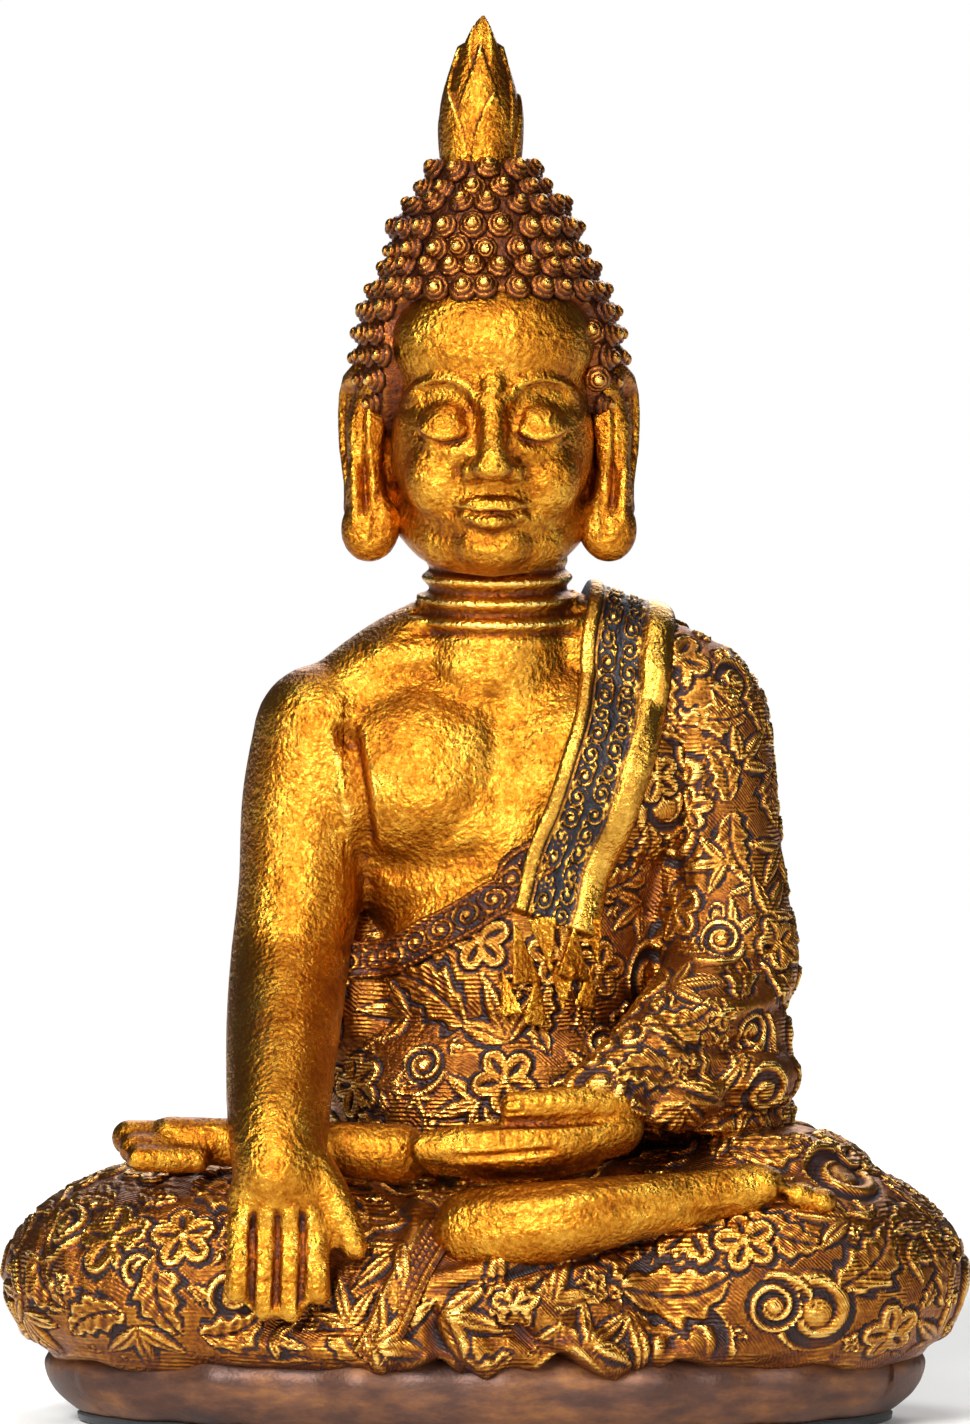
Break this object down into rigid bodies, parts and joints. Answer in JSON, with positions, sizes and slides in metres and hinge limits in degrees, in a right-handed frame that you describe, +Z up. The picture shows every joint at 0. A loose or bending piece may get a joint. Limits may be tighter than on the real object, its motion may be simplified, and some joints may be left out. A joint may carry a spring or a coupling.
{
  "type": "seated buddha statue",
  "caption": "Seated figure in meditation with snail-curl hair, lotus-bud finial, carved robe and shoulder sash, one hand reaching down to the ground, on a plain felted base.",
  "frame": {"origin": "centre of the footprint, on the surface that the felt pad rests on", "axes": "+Z up through the finial; the figure faces -Y; its own right hand is on -X"},
  "size_m": [0.205, 0.114, 0.3001],
  "materials": {
    "gold_leaf": "gold leaf over red-brown, worn",
    "robe_relief": "carved relief, antiqued copper and gold",
    "hair_bronze": "antiqued bronze",
    "sash_filigree": "gold scrolls on a dark ground",
    "rim_brown": "matt brown wash",
    "closing_plate": "plain cast plate",
    "felt": "black felt"
  },
  "bodies": {
    "root": {"felt_pad": "felt", "base_plate": "closing_plate", "base_rim": "rim_brown", "torso": "gold_leaf", "robe": "robe_relief", "shoulder_sash": "sash_filigree", "robe_border": "robe_relief", "right_leg": "robe_relief", "left_leg": "robe_relief", "lap_cloth": "robe_relief", "seat_back": "robe_relief", "right_foot": "gold_leaf", "left_foot": "gold_leaf", "head": "gold_leaf", "neck": "gold_leaf", "hair_cap": "hair_bronze", "hair_curls": "hair_bronze", "finial": "gold_leaf", "right_ear": "gold_leaf", "left_ear": "gold_leaf", "right_arm": "gold_leaf", "right_hand": "gold_leaf", "left_sleeve": "robe_relief", "sleeve_fall": "robe_relief", "left_hand": "gold_leaf", "robe_hem": "robe_relief", "sash_pleats": "sash_filigree"}
  },
  "joints": []
}
